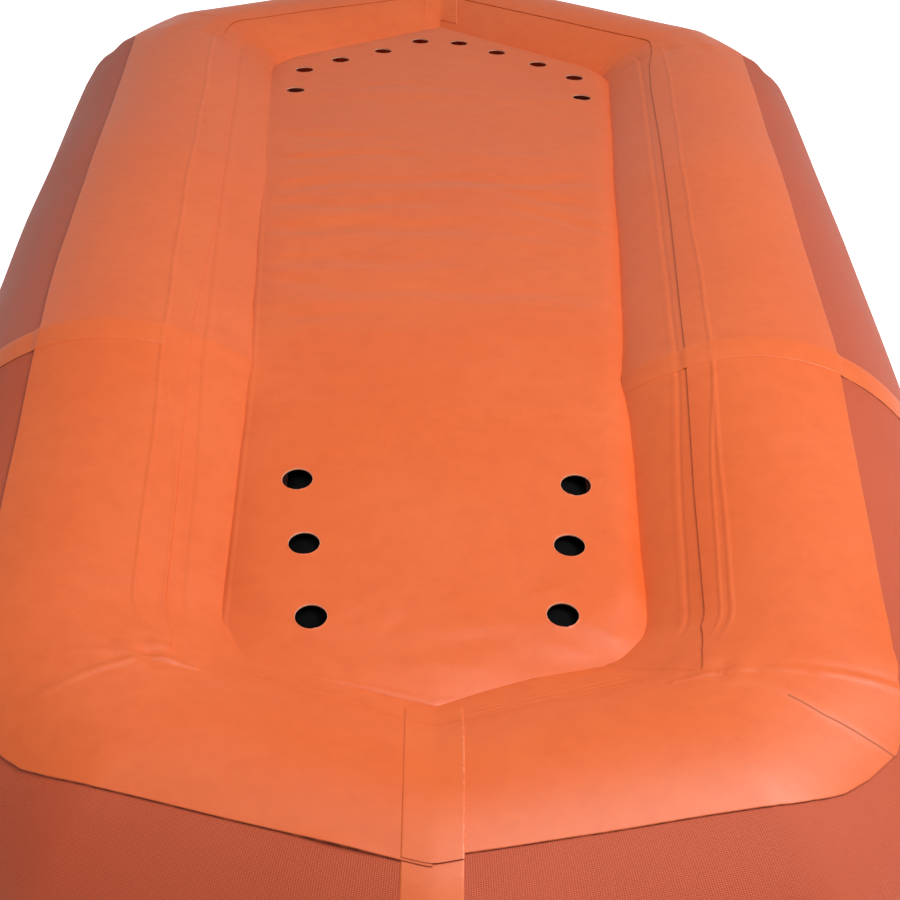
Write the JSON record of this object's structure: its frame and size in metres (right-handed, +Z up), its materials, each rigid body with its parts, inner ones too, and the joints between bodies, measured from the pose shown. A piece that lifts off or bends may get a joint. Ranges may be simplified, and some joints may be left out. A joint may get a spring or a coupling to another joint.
{
  "type": "inflatable kayak",
  "caption": "Short self-bailing inflatable kayak, stored bottom up: tapered air tubes around a drained floor, with taped joints, push valves, seat, folding backrest and tie-down rings.",
  "frame": {"origin": "middle of the box around the kayak, at the height of the ground that it lies on", "axes": "+Y to the bow along the hull, +X to the right seen from the stern towards the bow, +Z up; the kayak is stored bottom up, as pictured, so the paddler's side faces -Z"},
  "size_m": [0.9224, 2.0754, 0.4101],
  "materials": {
    "coated_orange": "smooth coated fabric, soft gloss",
    "woven_rust": "ribbed woven fabric, dull",
    "seam_tape": "welded seam tape, soft gloss",
    "mattress_fabric": "dark coated fabric, dull",
    "seat_fabric": "dark coated fabric, dull",
    "valve_plastic": "moulded, satin",
    "steel": "bright wire"
  },
  "bodies": {
    "hull": {"stern_tube_left": "woven_rust", "stern_tube_right": "woven_rust", "stern_corner_tube_left": "woven_rust", "stern_corner_tube_right": "woven_rust", "rear_side_tube_left": "woven_rust", "rear_side_tube_right": "woven_rust", "front_side_tube_left": "woven_rust", "front_side_tube_right": "woven_rust", "bow_corner_tube_left": "woven_rust", "bow_corner_tube_right": "woven_rust", "bow_tube_left": "woven_rust", "bow_tube_right": "woven_rust", "stern_wear_skin_left": "coated_orange", "stern_wear_skin_right": "coated_orange", "stern_corner_wear_skin_left": "coated_orange", "stern_corner_wear_skin_right": "coated_orange", "rear_side_wear_skin_left": "coated_orange", "rear_side_wear_skin_right": "coated_orange", "front_side_wear_skin_left": "coated_orange", "front_side_wear_skin_right": "coated_orange", "bow_corner_wear_skin_left": "coated_orange", "bow_corner_wear_skin_right": "coated_orange", "bow_wear_skin_left": "coated_orange", "bow_wear_skin_right": "coated_orange", "bottom_skin": "coated_orange", "side_band_left": "seam_tape", "side_band_right": "seam_tape", "stern_apex_tape": "seam_tape", "bow_apex_tape": "seam_tape", "stern_tie_down_patch_left": "seam_tape", "stern_tie_down_patch_right": "seam_tape", "bow_tie_down_patch_left": "seam_tape", "bow_tie_down_patch_right": "seam_tape", "baffle_left": "woven_rust", "baffle_right": "woven_rust", "inner_floor": "mattress_fabric", "seat_cushion": "seat_fabric", "seat_valve": "valve_plastic", "stern_valve_body": "valve_plastic", "stern_valve_spring": "steel", "bow_valve_body": "valve_plastic", "bow_valve_spring": "steel", "floor_valve_body": "valve_plastic", "floor_valve_spring": "steel"},
    "backrest": {"backrest": "seat_fabric", "backrest_valve": "valve_plastic"},
    "stern_valve_cap": {"stern_valve_cap": "valve_plastic"},
    "bow_valve_cap": {"bow_valve_cap": "valve_plastic"},
    "floor_valve_cap": {"floor_valve_cap": "valve_plastic"},
    "stern_valve_plunger": {"stern_valve_plunger": "valve_plastic"},
    "bow_valve_plunger": {"bow_valve_plunger": "valve_plastic"},
    "floor_valve_plunger": {"floor_valve_plunger": "valve_plastic"},
    "stern_ring_left": {"stern_tie_down_ring_left": "steel"},
    "stern_ring_right": {"stern_tie_down_ring_right": "steel"},
    "bow_ring_left": {"bow_tie_down_ring_left": "steel"},
    "bow_ring_right": {"bow_tie_down_ring_right": "steel"}
  },
  "joints": [
    {"name": "backrest_fold", "type": "hinge", "parent": "hull", "child": "backrest", "pos_m": [0, -0.63279, 0.22496], "axis": [1, 0, 0], "range_deg": [0, 80]},
    {"name": "stern_cap_turn", "type": "hinge", "parent": "hull", "child": "stern_valve_cap", "pos_m": [0.1159, -0.51283, 0.16514], "axis": [-0.9708, 0.078, -0.2267], "range_deg": [0, 90]},
    {"name": "bow_cap_turn", "type": "hinge", "parent": "hull", "child": "bow_valve_cap", "pos_m": [0.12942, -0.20971, 0.19113], "axis": [-0.9739, 0.0446, -0.2225], "range_deg": [0, 90]},
    {"name": "floor_cap_turn", "type": "hinge", "parent": "hull", "child": "floor_valve_cap", "pos_m": [0, -0.05002, 0.29103], "axis": [0, -0.0756, -0.9971], "range_deg": [0, 90]},
    {"name": "stern_plunger_push", "type": "slide", "parent": "hull", "child": "stern_valve_plunger", "axis": [0.9708, -0.078, 0.2267], "range_m": [0, 0.004], "stiffness_N_per_m": 300, "springref_m": -0.003, "deforming": ["stern_valve_spring"]},
    {"name": "bow_plunger_push", "type": "slide", "parent": "hull", "child": "bow_valve_plunger", "axis": [0.9739, -0.0446, 0.2225], "range_m": [0, 0.004], "stiffness_N_per_m": 300, "springref_m": -0.003, "deforming": ["bow_valve_spring"]},
    {"name": "floor_plunger_push", "type": "slide", "parent": "hull", "child": "floor_valve_plunger", "axis": [0, 0.0756, 0.9971], "range_m": [0, 0.004], "stiffness_N_per_m": 300, "springref_m": -0.003, "deforming": ["floor_valve_spring"]},
    {"name": "stern_left_ring_swing", "type": "hinge", "parent": "hull", "child": "stern_ring_left", "pos_m": [-0.36317, -0.51131, 0.05153], "axis": [-0.007, 0.9857, 0.1684], "range_deg": [-52, 108]},
    {"name": "stern_right_ring_swing", "type": "hinge", "parent": "hull", "child": "stern_ring_right", "pos_m": [0.36317, -0.51131, 0.05153], "axis": [0.007, 0.9857, 0.1684], "range_deg": [-108, 52]},
    {"name": "bow_left_ring_swing", "type": "hinge", "parent": "hull", "child": "bow_ring_left", "pos_m": [-0.37476, 0.2523, 0.0521], "axis": [-0.0179, 0.9977, -0.0656], "range_deg": [-54, 105]},
    {"name": "bow_right_ring_swing", "type": "hinge", "parent": "hull", "child": "bow_ring_right", "pos_m": [0.37476, 0.2523, 0.0521], "axis": [0.0179, 0.9977, -0.0656], "range_deg": [-105, 54]}
  ]
}
